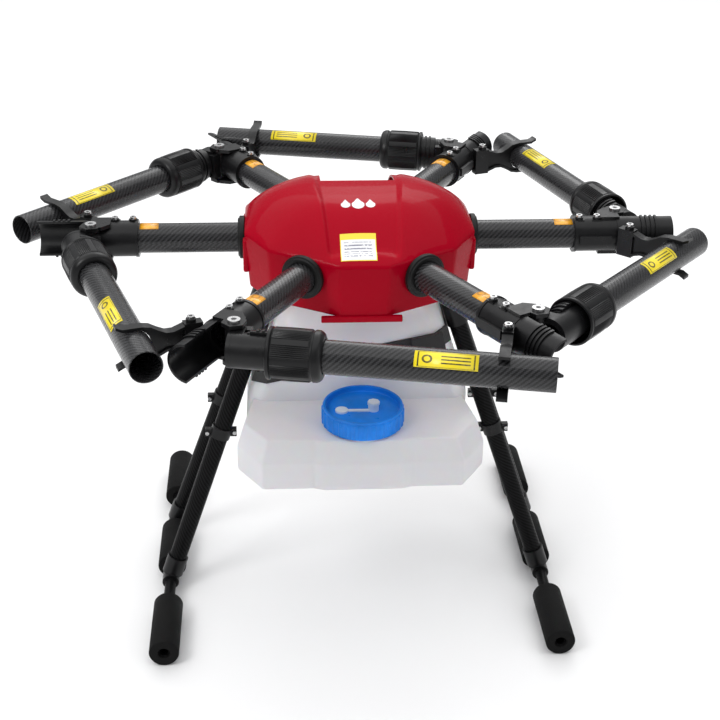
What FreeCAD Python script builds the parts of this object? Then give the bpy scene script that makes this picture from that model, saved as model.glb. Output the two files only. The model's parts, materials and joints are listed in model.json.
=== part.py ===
# Folding six-arm agricultural spray drone, millimetres, +Z up.
# Origin: on the ground, centred between the skids. Front (tank cap side) is -Y, right is +X.
import FreeCAD
import Part
import math
import os

os.makedirs("parts", exist_ok=True)
doc = FreeCAD.newDocument("spray_drone")
V = FreeCAD.Vector

DIMS = {
    # ring of arms
    "arm_height": 524.5, "tube_radius": 20.0, "tube_bore": 18.5, "tube_seat": 18.8,
    "inner_start": 96.0, "inner_end": 343.0,
    # fixed half of the folding joint
    "sleeve_start": 295.0, "sleeve_end": 350.0, "sleeve_radius": 24.3, "lip_bore": 16.5,
    "shell_end": 430.0, "shell_radius": 24.5, "shell_bore": 21.5,
    "thread_radius": 26.5, "thread_width": 3.2, "thread_pitch": 6.4, "thread_start": 386.0,
    "pivot_along": 356.1, "pivot_offset": 19.36, "fold_angle": 108.2,
    "ear_radius": 15.0, "ear_low": 22.0, "ear_thick": 5.0, "pin_radius": 5.0,
    # moving half and outer tube, measured along the outer arm from the pivot
    "knuckle_radius": 21.0, "knuckle_bore": 14.0, "knuckle_end": 75.0, "spigot_end": 78.0,
    "knuckle_ear": 11.0, "knuckle_half": 21.5, "running_gap": 0.05,
    "outer_start": 40.0, "seat_end": 80.0, "outer_end": 371.5,
    # lock collar
    "collar_start": 44.0, "collar_length": 65.0, "collar_radius": 31.0, "collar_core": 29.6,
    "collar_mouth": 27.2, "collar_depth": 58.0, "collar_bore": 20.3, "collar_tail": 24.5,
    "collar_rib": 3.0,
    # rest clip
    "clip_width": 13.0, "clip_gap": 20.6, "clip_thick": 3.6, "clip_web": 6.0,
    "clip_back": 82.0, "clip_front": 60.0, "clip_root": 38.0, "clip_screw": 69.0,
    # body
    "cover_low": 476.5, "cover_shoulder": 546.5, "cover_mid": 584.5, "cover_top": 604.5,
    "cover_skin": 3.0, "bay_half": 50.0, "notch_half": 46.0, "notch_slope": 4.9,
    "flap_left": -55.0, "flap_width": 104.5, "flap_drop": 8.5,
    "plate_thick": 2.0, "plate_apothem": 128.0, "post_radius": 5.0,
    "grommet_radius": 29.0, "grommet_thick": 7.0,
    # landing gear
    "leg_radius": 12.5, "leg_wall": 1.5, "leg_top_x": 120.0, "leg_top_y": 30.0,
    "leg_top_z": 460.5, "leg_foot_x": 272.0, "leg_foot_y": 73.0, "skid_height": 20.5,
    "skid_radius": 8.0, "skid_wall": 1.5, "skid_half": 248.0, "foam_radius": 20.5,
    "foam_end": 252.0, "foam_inner": 140.0, "foam_mid": 50.0, "tee_radius": 12.0,
    "band_radius": 14.5, "band_ear": 22.0,
    # tank
    "tank_low": 234.5, "tank_ledge": 305.5, "tank_top": 460.5, "tank_skin": 3.0,
    "neck_x": 2.0, "neck_y": -128.0, "neck_radius": 46.0, "neck_bore": 41.0,
    "neck_height": 13.0, "cap_radius": 52.0, "cap_rib": 53.5, "cap_height": 27.0,
    "cap_cavity": 46.5, "cap_rim": 48.0, "cap_recess": 8.0, "outlet_radius": 13.0,
    "outlet_bore": 9.0, "outlet_length": 18.0,
}
sheet = doc.addObject("Spreadsheet::Sheet", "dims")
for row, (alias, value) in enumerate(DIMS.items(), 1):
    sheet.set("A%d" % row, alias)
    sheet.set("B%d" % row, str(value))
    sheet.setAlias("B%d" % row, alias)
doc.recompute()

ARMS = {"left": 180.0, "front_left": 240.0, "front_right": 300.0,
        "right": 0.0, "back_right": 60.0, "back_left": 120.0}
nodes = {}


def place(pos=(0, 0, 0), angle=0.0, axis=(0, 0, 1)):
    return FreeCAD.Placement(V(*pos), FreeCAD.Rotation(V(*axis), angle))


def towards(pos, direction):
    return FreeCAD.Placement(V(*pos), FreeCAD.Rotation(V(0, 0, 1), V(*direction)))


def bind(expression):
    # a bare dimension name or an arithmetic phrase of names, bound to the spreadsheet
    words = []
    for word in str(expression).split():
        words.append("dims." + word if word in DIMS else word)
    return " ".join(words)


def solid(kind, where, **sizes):
    obj = doc.addObject("Part::" + kind, kind.lower())
    for prop, expression in sizes.items():
        obj.setExpression(prop, bind(expression))
    obj.Placement = where
    return obj


def cyl(where, radius, height):
    return solid("Cylinder", where, Radius=radius, Height=height)


def along(start, radius, length, lateral=0.0, z=0.0):
    # round bar along the local X axis
    return cyl(towards((start, lateral, z), (1, 0, 0)), radius, length)


def box(corner, length, width, height, angle=0.0, origin=(0, 0, 0)):
    where = place(origin, angle).multiply(place(corner))
    return solid("Box", where, Length=length, Width=width, Height=height)


def fuse(*shapes):
    obj = doc.addObject("Part::MultiFuse", "fuse")
    obj.Shapes = list(shapes)
    return obj


def cut(base, *tools):
    obj = doc.addObject("Part::Cut", "cut")
    obj.Base = base
    obj.Tool = tools[0] if len(tools) == 1 else fuse(*tools)
    return obj


def common(one, two):
    obj = doc.addObject("Part::MultiCommon", "common")
    obj.Shapes = [one, two]
    return obj


def loft(sections):
    # sections: (height expression, list of plan corners)
    wires = []
    for height, corners in sections:
        wire = doc.addObject("Part::Polygon", "section")
        wire.Nodes = [V(x, y, 0) for x, y in corners]
        wire.Close = True
        wire.setExpression("Placement.Base.z", bind(height))
        wires.append(wire)
    obj = doc.addObject("Part::Loft", "loft")
    obj.Sections = wires
    obj.Solid = True
    obj.Ruled = True
    return obj


def prism(corners, low, height):
    return loft([(low, corners), ("%s + %s" % (low, height), corners)])


def node(label, obj, where=None):
    obj.Label = label
    if where is not None:
        obj.Placement = where
    nodes[label] = obj
    return obj


def inset(corners, gap):
    # offset a convex-ish anticlockwise plan outline inwards by gap
    count = len(corners)
    result = []
    for i in range(count):
        (ax, ay), (bx, by), (cx, cy) = corners[i - 1], corners[i], corners[(i + 1) % count]
        one = (by - ay, ax - bx)
        two = (cy - by, bx - cx)
        n1, n2 = math.hypot(*one), math.hypot(*two)
        p, q = (one[0] / n1, one[1] / n1), (two[0] / n2, two[1] / n2)
        scale = gap / (1 + p[0] * q[0] + p[1] * q[1])
        result.append((bx - (p[0] + q[0]) * scale, by - (p[1] + q[1]) * scale))
    return result


def twelve(arm_face, corner_face):
    # twelve-sided ring: six faces square to the arms, six narrow corner faces
    result = []
    for i in range(12):
        a, b = math.radians(30 * i), math.radians(30 * i + 30)
        p = arm_face if i % 2 == 0 else corner_face
        q = corner_face if i % 2 == 0 else arm_face
        det = math.sin(b - a)
        result.append(((p * math.sin(b) - q * math.sin(a)) / det,
                       (q * math.cos(a) - p * math.cos(b)) / det))
    return result


# ---------------------------------------------------------------- arms and folding joints
D = DIMS
PIVOT = (D["pivot_along"], D["pivot_offset"], 0)
CLAMP_SCREWS = (D["sleeve_start"] + 7, D["sleeve_start"] + 31)


def arm_frame(angle):
    return place((0, 0, D["arm_height"]), angle)


def outer_frame(angle):
    # local X runs along the folded outer arm from the foot of the pivot, local -Y to its outside
    turn = place(PIVOT, D["fold_angle"]).multiply(place((0, -D["pivot_offset"], 0)))
    return arm_frame(angle).multiply(turn)


def clip_frame():
    # X points out of the clip's mouth, Y along the tube it holds: that of the clockwise neighbour
    neighbour = place((0, 0, 0), -60).multiply(place(PIVOT, D["fold_angle"]))
    held = neighbour.multiply(place((312, -D["pivot_offset"], 0), -90))
    return held


def make_inner_tube(name, angle):
    span = "inner_end - inner_start"
    outer = along(D["inner_start"], "tube_radius", span)
    bore = along(D["inner_start"] - 1, "tube_bore", span + " + 2")
    node("inner_tube_" + name, cut(outer, bore), arm_frame(angle))


def ear_plate(low):
    hexagon = solid("Prism", place((PIVOT[0], PIVOT[1], low), 12), Circumradius="ear_radius",
                    Height="ear_thick", Polygon="6")
    bridge = box((331, -9, low), "26", "36", "ear_thick")
    corner = box((331, 27, low - 1), "20", "20", "ear_thick + 2", 45, (0, 0, 0))
    corner.Placement = place((331, 16, low - 1), 45)
    return fuse(hexagon, cut(bridge, corner))


def make_socket(name, angle):
    sleeve = along(D["sleeve_start"], "sleeve_radius", "sleeve_end - sleeve_start")
    front_band = along(D["sleeve_start"], "sleeve_radius + 1", "4")
    shell = along(D["sleeve_end"] - 1, "shell_radius", "shell_end - sleeve_end + 1")
    ribs = []
    for i in range(4):
        at = D["thread_start"] + i * D["thread_pitch"]
        ribs.append(along(at, "thread_radius", "thread_width"))
    collar_stop = along(D["sleeve_end"] + 3, "shell_radius + 0.8", "5")
    round_part = fuse(shell, collar_stop, *ribs)
    hollow = along(D["sleeve_end"], "shell_bore", "shell_end - sleeve_end + 1")
    open_side = box((D["sleeve_end"], -0.3, -40), "shell_end - sleeve_end + 1", "40", "80")
    half = cut(round_part, hollow, open_side)
    side_rail = box((D["sleeve_start"] + 6, -27.2, -6), "44", "5", "12")
    bosses = [cyl(place((u, -5, 18)), "5.5", "8.2") for u in CLAMP_SCREWS]
    lugs = [box((u - 6.5, -11, 16), "13", "13", "7.6") for u in CLAMP_SCREWS]
    ears = [ear_plate(D["ear_low"]), ear_plate(-D["ear_low"] - D["ear_thick"])]
    body = fuse(sleeve, front_band, side_rail, *(bosses + lugs + ears))
    seat = along(D["sleeve_start"] - 1, "tube_radius", "inner_end - sleeve_start + 1")
    lip = along(D["inner_end"] - 1, "lip_bore", "sleeve_end - inner_end + 2")
    swing = cyl(place((PIVOT[0], PIVOT[1], -D["ear_low"])), "knuckle_ear + 0.7", "ear_low * 2")
    pin = cyl(place((PIVOT[0], PIVOT[1], -40)), "pin_radius", "80")
    holes = [cyl(place((u, -5, 20.5)), "2.55", "10") for u in CLAMP_SCREWS]
    slit = box((D["sleeve_start"] - 1, -0.8, -30), "inner_end - sleeve_start", "1.6", "12")
    node("fold_socket_" + name, cut(fuse(body, half), seat, lip, swing, pin, slit, *holes),
         arm_frame(angle))


def upright(corners, thick):
    # outline drawn in X and Z, extruded to both sides of Y = 0
    bar = loft([("0", corners), (thick, corners)])
    bar.Placement = place((0, D[thick] / 2, 0), 90, (1, 0, 0))
    return bar


def make_clip(name, angle):
    gap, thick, back = D["clip_gap"], D["clip_thick"], D["clip_back"]
    root_half = D["clip_root"] / 2
    crest = [(-57, 15.5), (-47, 12), (-38, 12.2), (-29, 16.5), (-20, 22), (-9, gap + thick),
             (13, gap + thick), (21, gap + thick + 4)]
    bend = gap + 0.4
    seat = [(bend * math.cos(math.radians(a)), bend * math.sin(math.radians(a)))
            for a in (115, 135, 157.5, 180)]
    top = [(-back, root_half), (-66, root_half)] + crest
    ribbon = top[1:] + [(x, z - thick) for x, z in reversed(top[1:])]
    web_top = top[:-2] + seat
    parts = [upright([(x, -z) for x, z in web_top] + web_top[-2::-1], "clip_web")]
    for side in (1, -1):
        parts.append(upright([(x, side * z) for x, z in ribbon], "clip_width"))
    root = box((-back, -D["clip_width"] / 2, -root_half), "clip_back - clip_front", "clip_width",
               "clip_root")
    boss = cyl(place((-D["clip_screw"], 0, root_half - 1)), "6", "5")
    hole = cyl(place((-D["clip_screw"], 0, 11)), "2.55", "14")
    whole = fuse(root, boss, *parts)
    whole.Placement = clip_frame()
    hole.Placement = clip_frame().multiply(hole.Placement)
    saddle = along(340, "shell_radius + 0.02", "80")
    band = along(D["sleeve_end"] + 2.9, "shell_radius + 0.85", "5.2")
    node("rest_clip_" + name, cut(whole, hole, saddle, band), arm_frame(angle))


def make_knuckle(name, angle):
    off = D["pivot_offset"]
    stub = along(-2.5, "knuckle_radius", "knuckle_end + 2.5")
    end_ring = along(-2.5, "knuckle_radius + 0.3", "5")
    mid_ring = along(19, "knuckle_radius + 1.2", "3")
    half = along(22.5, "shell_radius", "knuckle_end - 24")
    ribs = []
    for i in range(4):
        ribs.append(along(30 + i * D["thread_pitch"], "thread_radius", "thread_width"))
    keep_off = box((20, -40, -40), "70", "40.5", "80")
    upper_half = cut(fuse(half, *ribs), keep_off)
    ear = cyl(place((0, off, -D["knuckle_half"])), "knuckle_ear", "knuckle_half * 2")
    block = box((-2, 0, -21), "17", "%s" % off, "42")
    web = box((-2, off - 2, -18), "23", "10", "36")
    shim = cut(mid_ring, box((10, -40, -40), "20", "41", "80"))
    body = fuse(stub, end_ring, shim, upper_half, ear, block, web)
    socket = along(D["outer_start"], "tube_radius", "knuckle_end - outer_start + 1")
    spigot = along(D["outer_start"] - 1, "tube_seat", "spigot_end - outer_start + 1")
    bore = along(-4, "knuckle_bore", "spigot_end + 6")
    pin = cyl(place((0, off, -40)), "pin_radius + running_gap", "80")
    node("fold_knuckle_" + name, cut(fuse(cut(body, socket), spigot), bore, pin),
         outer_frame(angle))


def make_outer_tube(name, angle):
    tube = along(D["outer_start"], "tube_radius", "outer_end - outer_start")
    seat = along(D["outer_start"] - 1, "tube_seat", "seat_end - outer_start + 1")
    bore = along(D["seat_end"] - 1, "tube_bore", "outer_end - seat_end + 2")
    node("outer_tube_" + name, cut(tube, seat, bore), outer_frame(angle))


def make_collar(name, angle):
    start = D["collar_start"]
    rim = along(start, "collar_radius - 0.4", "4")
    core = along(start, "collar_core", "collar_length - 9")
    tail_at = towards((start + D["collar_length"] - 9, 0, 0), (1, 0, 0))
    tail = solid("Cone", tail_at, Radius1="collar_core + 0.9", Radius2="collar_tail", Height="9")
    ribs = []
    for i in range(9):
        rib = box((0, 0, 0), "collar_length - 17", "collar_rib", "collar_radius * 2")
        turn = place((start + 7, 0, 0), 20 * i, (1, 0, 0))
        rib.Placement = turn.multiply(place((0, -D["collar_rib"] / 2, -D["collar_radius"])))
        ribs.append(rib)
    mouth = along(start - 1, "collar_mouth", "collar_depth + 1")
    bore = along(start, "collar_bore", "collar_length + 2")
    node("lock_collar_" + name, cut(fuse(core, rim, tail, *ribs), mouth, bore),
         outer_frame(angle))


for arm_name, arm_angle in ARMS.items():
    make_inner_tube(arm_name, arm_angle)
    make_socket(arm_name, arm_angle)
    make_clip(arm_name, arm_angle)
    make_knuckle(arm_name, arm_angle)
    make_outer_tube(arm_name, arm_angle)
    make_collar(arm_name, arm_angle)


def round_the_ring(build):
    # repeats a small set of bars at each of the six arms and joins them in one object
    shapes = []
    for angle in ARMS.values():
        for obj in build():
            obj.Placement = arm_frame(angle).multiply(obj.Placement)
            shapes.append(obj)
    return fuse(*shapes)


def pins():
    length = "ear_low * 2 + ear_thick * 2"
    low = -D["ear_low"] - D["ear_thick"]
    return [cyl(place((PIVOT[0], PIVOT[1], low)), "pin_radius", length)]


def hex_cap(at, head, thick, recess, shank=0.0):
    # socket-head screw: domed head with a hexagonal recess, optional shank below it
    x, y, z = at
    body = cyl(place((x, y, z)), head, thick)
    if shank:
        body = fuse(body, cyl(place((x, y, z - shank)), "2.5", "%s" % shank))
    key = solid("Prism", place((x, y, z + 1.2)), Circumradius="%s" % recess, Height=thick,
                Polygon="6")
    return cut(body, key)


def screws():
    top = D["ear_low"] + D["ear_thick"]
    upper = hex_cap((PIVOT[0], PIVOT[1], top), "7.5", "3", 3.6)
    lower = hex_cap((PIVOT[0], PIVOT[1], top), "7.5", "3", 3.6)
    lower.Placement = place((0, 2 * PIVOT[1], 0), 180, (1, 0, 0))
    result = [upper, lower]
    for u in CLAMP_SCREWS:
        result.append(hex_cap((u, -5, 26.2), "4.2", "3.2", 2.2, 5.7))
    root = hex_cap((-D["clip_screw"], 0, 23), "4.6", "3.4", 2.4, 11)
    root.Placement = clip_frame()
    result.append(root)
    return result


def grommets():
    collar = along(153.05, "grommet_radius", "grommet_thick")
    lip = along(159, "grommet_radius - 3", "3")
    neck = along(140, "tube_radius + 2.9", "20")
    hole = along(138, "tube_radius", "30")
    return [cut(fuse(collar, lip, neck), hole)]


node("hinge_pins", round_the_ring(pins))

# ---------------------------------------------------------------- centre body
RING = twelve(153.0, 158.5)


def mirrored(right_side):
    # right_side: corners with X > 0 from front to back; returns the closed outline
    return right_side + [(-x, y) for x, y in reversed(right_side)]


MID = mirrored([(40, -103), (90, -78), (120, -28), (120, 30), (90, 80), (40, 104)])
TOP = mirrored([(48, -60), (58, -48), (62, -30), (62, 8), (58, 24), (48, 33)])
RING_ORDERED = mirrored(sorted([p for p in RING if p[0] > 0], key=lambda p: p[1]))
LOW_ORDERED = inset(RING_ORDERED, 3.0)


def cover_body(gap):
    sections = [("cover_low", inset(LOW_ORDERED, gap)), ("cover_shoulder", inset(RING_ORDERED, gap)),
                ("cover_mid - %s" % (gap * 0.7), inset(MID, gap)),
                ("cover_top - %s" % gap, inset(TOP, gap))]
    if gap:
        sections.insert(0, ("cover_low - 5", inset(LOW_ORDERED, gap)))
    return loft(sections)


def cross_bar(corners, half):
    # outline drawn in Y and Z, extruded along X from -half to +half
    bar = loft([("0", corners), ("%s" % (half * 2), corners)])
    bar.Placement = place((-half, 0, 0), 120, (1, 1, 1))
    return bar


def bay_outline(gap):
    # battery bay seen from the side: flat floor, then a ramp down to the rear edge
    corners = [(22, 30), (102, 30), (168, -5), (168, 110), (22, 110)]
    return inset([(y, D["arm_height"] + z) for y, z in corners], gap)


def notch(gap):
    # shallow trapezoid channel along the crown, deeper towards the rear
    low, high = D["notch_half"] + gap, D["notch_half"] + gap + 16.8
    floor = [(-low, -30), (low, -30), (low, 240), (-low, 240)]
    brim = [(-high, -30), (high, -30), (high, 240), (-high, 240)]
    channel = loft([("0 - %s" % gap, floor), ("14 - %s" % gap, brim)])
    channel.Placement = place((0, -60, D["cover_top"]), -D["notch_slope"], (1, 0, 0))
    return channel


def make_cover():
    outer = cut(cover_body(0), notch(0))
    hollow = cut(cover_body(D["cover_skin"]), notch(D["cover_skin"]))
    tub = common(cross_bar(bay_outline(-D["cover_skin"]), D["bay_half"] + D["cover_skin"]),
                 cut(cover_body(0), notch(0)))
    tabs = []
    for side in (-1, 1):
        for y in (-52, 34):
            tabs.append(box((side * 151 - 4, y, D["cover_low"] + 1), "8", "18", "62"))
        tabs.append(box((side * 149 - 5, -24, D["arm_height"] + 30), "9", "48", "5"))
    whole = fuse(cut(outer, hollow), tub, *tabs)
    arm_holes = []
    for angle in ARMS.values():
        hole = along(120, "tube_radius + 3", "60")
        hole.Placement = arm_frame(angle).multiply(hole.Placement)
        arm_holes.append(hole)
    node("top_cover", cut(whole, cross_bar(bay_outline(0), D["bay_half"]), *arm_holes))


def make_tray():
    pan = prism(inset(LOW_ORDERED, 4.0), "cover_low - 2", "4")
    flap = box((D["flap_left"], -155.4, D["cover_low"] - D["flap_drop"]), "flap_width", "6",
               "flap_drop - 0.2")
    node("lower_tray", fuse(pan, flap))


def plate(label, low):
    corners = twelve(D["plate_apothem"], D["plate_apothem"] + 8)
    sheet_body = prism(corners, low, "plate_thick")
    beneath = D["arm_height"] - 40
    holes = [cyl(place((0, 0, beneath)), "22", "80"), box((-54, 110, beneath), "108", "60", "80")]
    for i in range(6):
        a = math.radians(60 * i + 30)
        holes.append(cyl(place((70 * math.cos(a), 70 * math.sin(a), beneath)), "12", "80"))
    node(label, cut(sheet_body, *holes))


def make_posts():
    posts = []
    for i in range(6):
        a = math.radians(60 * i + 30)
        for radius in (104, 128):
            x, y = radius * math.cos(a), radius * math.sin(a)
            if y < 110:
                at = (x, y, D["arm_height"] - 20)
                posts.append(cyl(place(at), "post_radius", "tube_radius * 2"))
    node("plate_posts", fuse(*posts))


def make_board():
    low = D["arm_height"] - 17
    board = box((-45, -40, low), "90", "80", "1.6")
    feet = [cyl(place((x, y, low - 3)), "4", "3") for x in (-38, 38) for y in (-33, 33)]
    parts = [box((-30, -28, low + 1.6), "24", "30", "9"), box((4, -30, low + 1.6), "28", "18", "12"),
             box((-28, 12, low + 1.6), "56", "14", "7")]
    caps = [cyl(place((x, 0, low + 1.6)), "5", "14") for x in (6, 19, 32)]
    node("power_board", fuse(board, *(feet + parts + caps)))


make_cover()
make_tray()
plate("upper_plate", "arm_height + tube_radius")
plate("lower_plate", "arm_height - tube_radius - plate_thick")
make_posts()
make_board()
node("arm_root_grommets", round_the_ring(grommets))

# ---------------------------------------------------------------- landing gear
CORNERS = {"front_left": (-1, -1), "front_right": (1, -1),
           "back_left": (-1, 1), "back_right": (1, 1)}
TOP_X, TOP_Y, TOP_Z = D["leg_top_x"], D["leg_top_y"], D["leg_top_z"]
FOOT_X, FOOT_Y, FOOT_Z = D["leg_foot_x"], D["leg_foot_y"], D["skid_height"]


def leg_point(sx, sy, share):
    # share 0 at the root under the body, 1 at the skid axis
    return (sx * (TOP_X + (FOOT_X - TOP_X) * share), sy * (TOP_Y + (FOOT_Y - TOP_Y) * share),
            TOP_Z + (FOOT_Z - TOP_Z) * share)


def leg_bar(sx, sy, first, last, radius):
    one, two = leg_point(sx, sy, first), leg_point(sx, sy, last)
    way = [b - a for a, b in zip(one, two)]
    length = math.sqrt(sum(w * w for w in way))
    return cyl(towards(one, way), radius, "%s" % round(length, 4))


def make_legs():
    for name, (sx, sy) in CORNERS.items():
        outer = leg_bar(sx, sy, 0, 0.95, "leg_radius")
        inner = leg_bar(sx, sy, -0.02, 0.97, "leg_radius - leg_wall")
        node("leg_" + name, cut(outer, inner))


def make_root_brackets():
    shapes = []
    low = D["cover_low"] - 24
    for sx, sy in CORNERS.values():
        block = box((sx * 124 - 17, sy * 29 - 16, low), "34", "32", "20")
        sleeve = leg_bar(sx, sy, 0.015, 0.12, "leg_radius + 2")
        foot = box((sx * 118 - 22, sy * 29 - 20, low + 20), "44", "40", "2")
        shapes.append(cut(fuse(block, sleeve, foot), leg_bar(sx, sy, 0, 0.2, "leg_radius")))
    node("leg_root_brackets", fuse(*shapes))


def band_screws():
    # two screws on the front ear of each leg band
    result = []
    for sx, sy in CORNERS.values():
        x, y, z = leg_point(sx, sy, 0.478)
        for side in (-1, 1):
            screw = hex_cap((0, 0, 0), "2.6", "2.2", 1.4)
            screw.Placement = towards((x + side * (D["band_ear"] - 2.8), y - 4, z), (0, -1, 0))
            result.append(screw)
    return result


def make_bands():
    shapes = []
    for sx, sy in CORNERS.values():
        ring = leg_bar(sx, sy, 0.46, 0.495, "band_radius")
        x, y, z = leg_point(sx, sy, 0.478)
        ear = box((x - D["band_ear"], y - 4, z - 6), "band_ear * 2", "8", "12")
        hole = leg_bar(sx, sy, 0.42, 0.54, "leg_radius")
        shapes.append(cut(fuse(ring, ear), hole))
    node("leg_band_clamps", fuse(*shapes))


def skid_bar(sx, start, length, radius):
    return cyl(towards((sx * FOOT_X, start, FOOT_Z), (0, 1, 0)), radius, length)


def make_skids():
    for name, sx in (("left", -1), ("right", 1)):
        outer = skid_bar(sx, -D["skid_half"], "skid_half * 2", "skid_radius")
        inner = skid_bar(sx, -D["skid_half"] - 1, "skid_half * 2 + 2", "skid_radius - skid_wall")
        node("skid_tube_" + name, cut(outer, inner))


def make_tees():
    shapes = []
    for sx, sy in CORNERS.values():
        run = skid_bar(sx, sy * FOOT_Y - 16, "32", "tee_radius")
        branch = leg_bar(sx, sy, 0.925, 0.985, "leg_radius + 2.5")
        leg_hole = leg_bar(sx, sy, 0.8, 0.95, "leg_radius")
        skid_hole = skid_bar(sx, sy * FOOT_Y - 30, "60", "skid_radius")
        shapes.append(cut(fuse(run, branch), leg_hole, skid_hole))
    node("skid_tees", fuse(*shapes))


def make_foam():
    shapes = []
    spans = ((-D["foam_end"], "foam_end - foam_inner"), (-D["foam_mid"], "foam_mid * 2"),
             (D["foam_inner"], "foam_end - foam_inner"))
    for sx in (-1, 1):
        for start, length in spans:
            sleeve = skid_bar(sx, start, length, "foam_radius")
            bore = skid_bar(sx, start - 1, length + " + 2", "skid_radius")
            shapes.append(cut(sleeve, bore))
    node("skid_sleeves", fuse(*shapes))


make_legs()
make_root_brackets()
make_bands()
node("steel_screws", fuse(round_the_ring(screws), *band_screws()))
make_skids()
make_tees()
make_foam()

# ---------------------------------------------------------------- tank
TANK_PLAN = mirrored([(53, -190), (66, -185), (135, -185), (168, -133), (156, -65), (156, 80),
                      (125, 110)])
NECK = (D["neck_x"], D["neck_y"])


def upper_plan(half, gap):
    return inset(mirrored([(half - 18, -65), (half, -48), (half, 42), (half - 18, 60)]), gap)


def tank_tall(gap):
    return loft([("tank_low + 20", upper_plan(154, gap)), ("tank_ledge", upper_plan(154, gap)),
                 ("tank_top - 12", upper_plan(106, gap)),
                 ("tank_top - %s" % max(gap, 0), upper_plan(98, gap))])


def tank_body(gap):
    deep = [("tank_low + %s" % gap, inset(TANK_PLAN, 5.0 + gap)),
            ("tank_low + %s" % (5.0 + gap * 0.4), inset(TANK_PLAN, gap)),
            ("tank_ledge - %s" % (30.0 + gap * 0.2), inset(TANK_PLAN, gap)),
            ("tank_ledge - %s" % gap, inset(TANK_PLAN, 10.0 + gap))]
    return fuse(loft(deep), tank_tall(gap))


def make_tank():
    ledge = D["tank_ledge"]
    neck = cyl(place((NECK[0], NECK[1], ledge - 4)), "neck_radius", "neck_height + 4")
    boss = cyl(place((NECK[0], NECK[1], ledge - 4)), "neck_radius + 5", "5")
    outlet_low = D["tank_low"] - D["outlet_length"]
    outlet = cyl(place((0, 40, outlet_low)), "outlet_radius", "outlet_length + 4")
    outlet_hole = cyl(place((0, 40, outlet_low - 1)), "outlet_bore", "outlet_length + 10")
    mouth = cyl(place((NECK[0], NECK[1], ledge - 12)), "neck_bore", "neck_height + 20")
    outer = fuse(tank_body(0), neck, boss, outlet)
    node("tank_shell", cut(outer, tank_body(D["tank_skin"]), mouth, outlet_hole))


def make_gasket():
    low = D["tank_ledge"] + D["neck_height"]
    ring = cyl(place((NECK[0], NECK[1], low)), "neck_radius - 0.5", "1.6")
    hole = cyl(place((NECK[0], NECK[1], low - 1)), "neck_bore + 0.5", "4")
    node("tank_gasket", cut(ring, hole))


def make_cap():
    low = D["tank_ledge"] + 1.4
    high = low + D["cap_height"]
    x, y = NECK
    body = cyl(place((x, y, low)), "cap_radius", "cap_height")
    ribs = []
    for i in range(15):
        rib = box((0, 0, 0), "cap_rib * 2", "5", "cap_height - 5")
        turn = place((x, y, low + 1.5), 12 * i)
        rib.Placement = turn.multiply(place((-D["cap_rib"], -2.5, 0)))
        ribs.append(rib)
    recess = cyl(place((x, y, high - D["cap_recess"])), "cap_rim", "cap_recess + 1")
    cavity = cyl(place((x, y, low - 1)), "cap_cavity", "neck_height + 1.8")
    node("tank_cap", cut(fuse(body, *ribs), recess, cavity))


def make_valve():
    floor = D["tank_ledge"] + 1.4 + D["cap_height"] - D["cap_recess"]
    x, y = NECK
    stem = cyl(place((x + 14, y - 4, floor)), "7", "9.5")
    knob = solid("Prism", place((x + 14, y - 4, floor + 9)), Circumradius="8.2", Height="4.5",
                 Polygon="8")
    strap = box((x - 26, y - 8.5, floor), "36", "5", "2.2")
    plug = cyl(place((x - 29, y - 6, floor)), "8.5", "3.2")
    node("vent_valve", fuse(stem, knob, strap, plug))


def make_strap():
    # slanting webbing round the upper tank, with a loose folded end at the front right corner
    slant = place((118, 0, D["arm_height"] - 126), -12, (0, 1, 0))
    slab = box((0, 0, 0), "400", "200", "24")
    slab.Placement = slant.multiply(place((-330, -100, -12)))
    tail = box((0, 0, 0), "44", "8", "24")
    tail.Placement = slant.multiply(place((-46, -72, -12)))
    wrap = common(slab, tank_tall(-2.4))
    node("tank_strap", cut(fuse(wrap, tail), tank_tall(0)))


make_tank()
make_gasket()
make_cap()
make_valve()
make_strap()

# ---------------------------------------------------------------- check and write
doc.recompute()
for label, obj in nodes.items():
    for flag in obj.State:
        if flag in ("Invalid", "Error"):
            raise RuntimeError("%s is %s" % (label, flag))
    if obj.Shape.isNull() or not obj.Shape.isValid():
        raise RuntimeError("%s has a bad shape" % label)
for label, obj in nodes.items():
    obj.Shape.exportStep("parts/%s.step" % label)
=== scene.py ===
import json
import math

import bmesh
import bpy
from mathutils import Matrix, Vector


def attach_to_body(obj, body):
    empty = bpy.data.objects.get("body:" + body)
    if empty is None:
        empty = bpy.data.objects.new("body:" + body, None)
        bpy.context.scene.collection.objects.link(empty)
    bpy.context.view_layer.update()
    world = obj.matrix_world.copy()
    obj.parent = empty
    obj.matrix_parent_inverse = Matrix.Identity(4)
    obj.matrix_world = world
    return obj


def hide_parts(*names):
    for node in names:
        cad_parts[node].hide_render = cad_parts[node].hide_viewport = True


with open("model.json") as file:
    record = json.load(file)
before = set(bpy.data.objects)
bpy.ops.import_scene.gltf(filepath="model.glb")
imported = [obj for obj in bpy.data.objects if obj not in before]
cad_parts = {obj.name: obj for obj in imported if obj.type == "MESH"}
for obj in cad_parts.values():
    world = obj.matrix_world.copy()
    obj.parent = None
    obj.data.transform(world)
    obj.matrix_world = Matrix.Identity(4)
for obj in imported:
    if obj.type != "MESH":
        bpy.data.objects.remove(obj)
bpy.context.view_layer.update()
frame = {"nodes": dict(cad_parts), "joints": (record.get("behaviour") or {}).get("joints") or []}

NODES = frame["nodes"]
JOINTS = {joint["name"]: joint for joint in frame["joints"]}
MM = 0.001

# ------------------------------------------------------------------ shader helpers


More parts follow.
